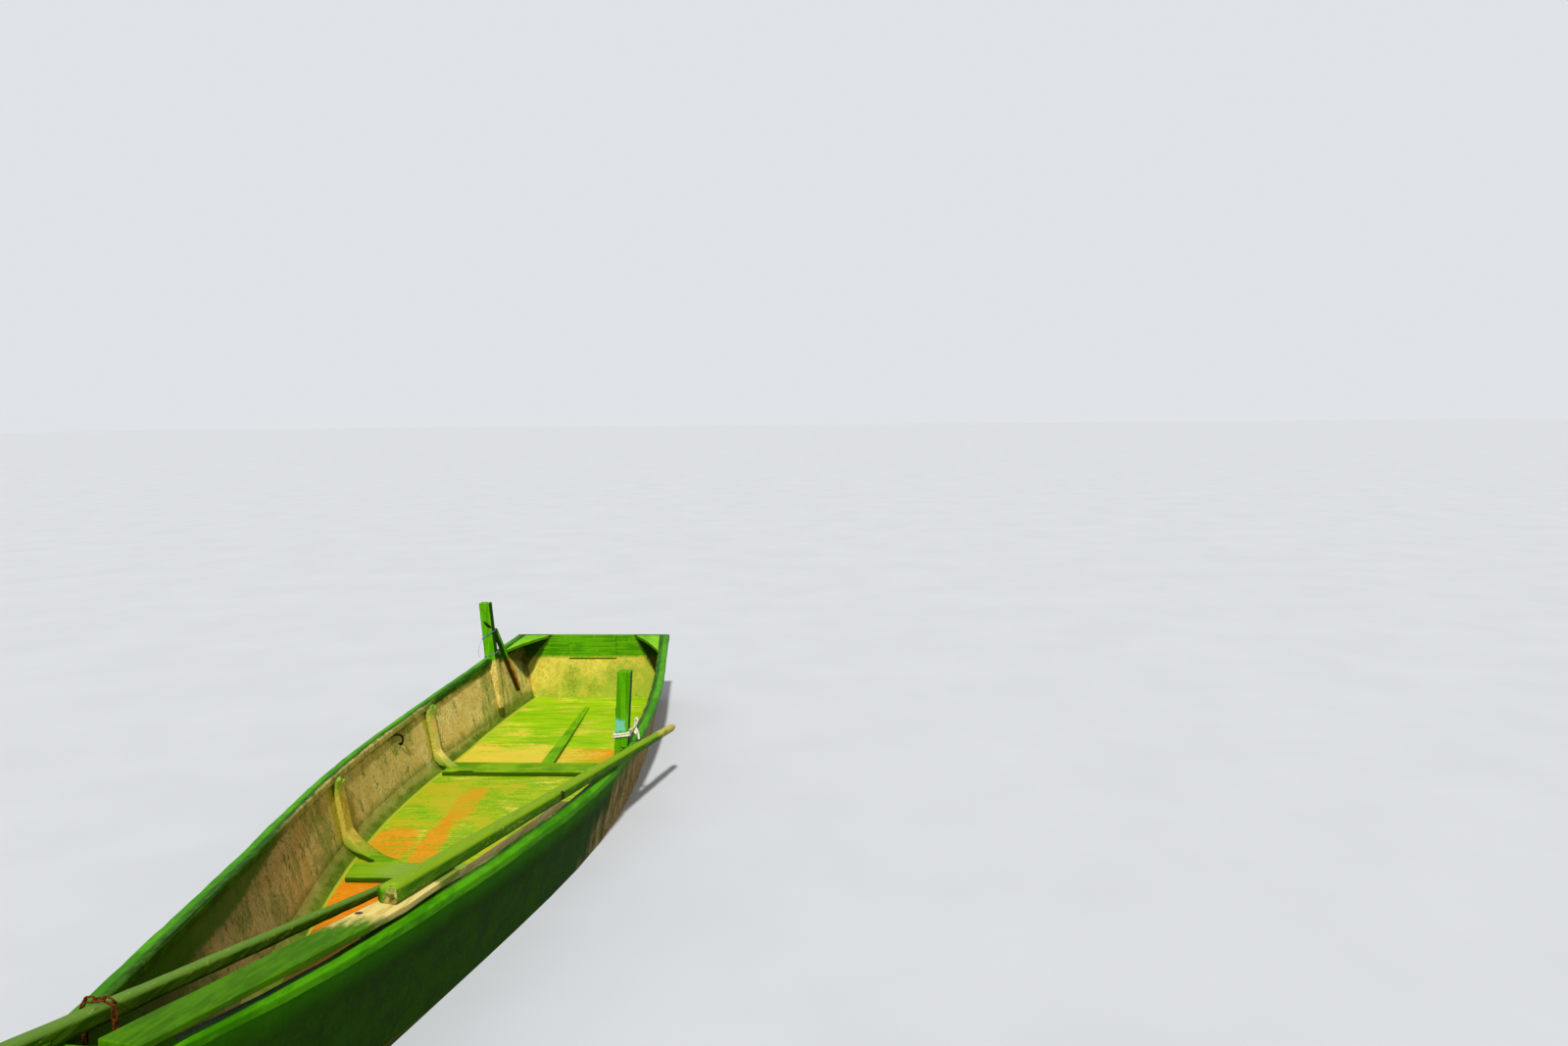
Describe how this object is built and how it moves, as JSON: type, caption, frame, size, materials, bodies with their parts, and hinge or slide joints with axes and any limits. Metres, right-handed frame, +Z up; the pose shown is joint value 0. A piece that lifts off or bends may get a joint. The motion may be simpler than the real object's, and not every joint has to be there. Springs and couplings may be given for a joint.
{
  "type": "rowing boat",
  "caption": "Flat-bottomed wooden rowing boat with flared sides, a raked transom, oar posts with struts, curved ribs and loose two-piece oars.",
  "frame": {"origin": "on the underside of the flat bottom, on the centreline, 2.1 m ahead of the transom's top edge", "axes": "+X points to the bow, +Y to port, +Z up"},
  "size_m": [5.2983, 1.3863, 0.7966],
  "materials": {
    "blade_wood": "bare wood and green paint",
    "cove_paint": "dark green paint",
    "floor_paint": "worn yellow-green paint over orange primer",
    "iron": "rusty",
    "oar_paint": "green paint on wood",
    "post_paint": "green paint on wood",
    "rib_paint": "cream and green paint",
    "rim_paint": "glossy green paint",
    "rusty_iron": "rust",
    "side_paint": "weathered cream and green paint"
  },
  "bodies": {
    "hull": {"bottom": "floor_paint", "breasthook": "rim_paint", "chain": "rusty_iron", "cove_port": "cove_paint", "cove_starboard": "cove_paint", "floor_batten": "floor_paint", "floor_timber_aft": "floor_paint", "floor_timber_mid": "floor_paint", "gunwale_port": "rim_paint", "gunwale_starboard": "rim_paint", "mooring_eye": "iron", "oar_blade_bow": "blade_wood", "oar_post_port": "post_paint", "oar_post_starboard": "post_paint", "oar_shaft_bow": "oar_paint", "post_strut_port": "post_paint", "post_strut_starboard": "post_paint", "quarter_knee_port": "rim_paint", "quarter_knee_starboard": "rim_paint", "rib_aft_port": "rib_paint", "rib_aft_starboard": "rib_paint", "rib_mid_port": "rib_paint", "rib_mid_starboard": "rib_paint", "side_port": "side_paint", "side_starboard": "side_paint", "stem": "rim_paint", "transom": "side_paint", "transom_pad": "rim_paint"},
    "port_oar": {"oar_blade_port": "blade_wood", "oar_shaft_port": "oar_paint", "oar_side_board_port": "blade_wood"}
  },
  "joints": [
    {"name": "port_oar_lift", "type": "slide", "parent": "hull", "child": "port_oar", "axis": [0, 0.2588, 0.9659], "range_m": [0, 0.4]}
  ]
}
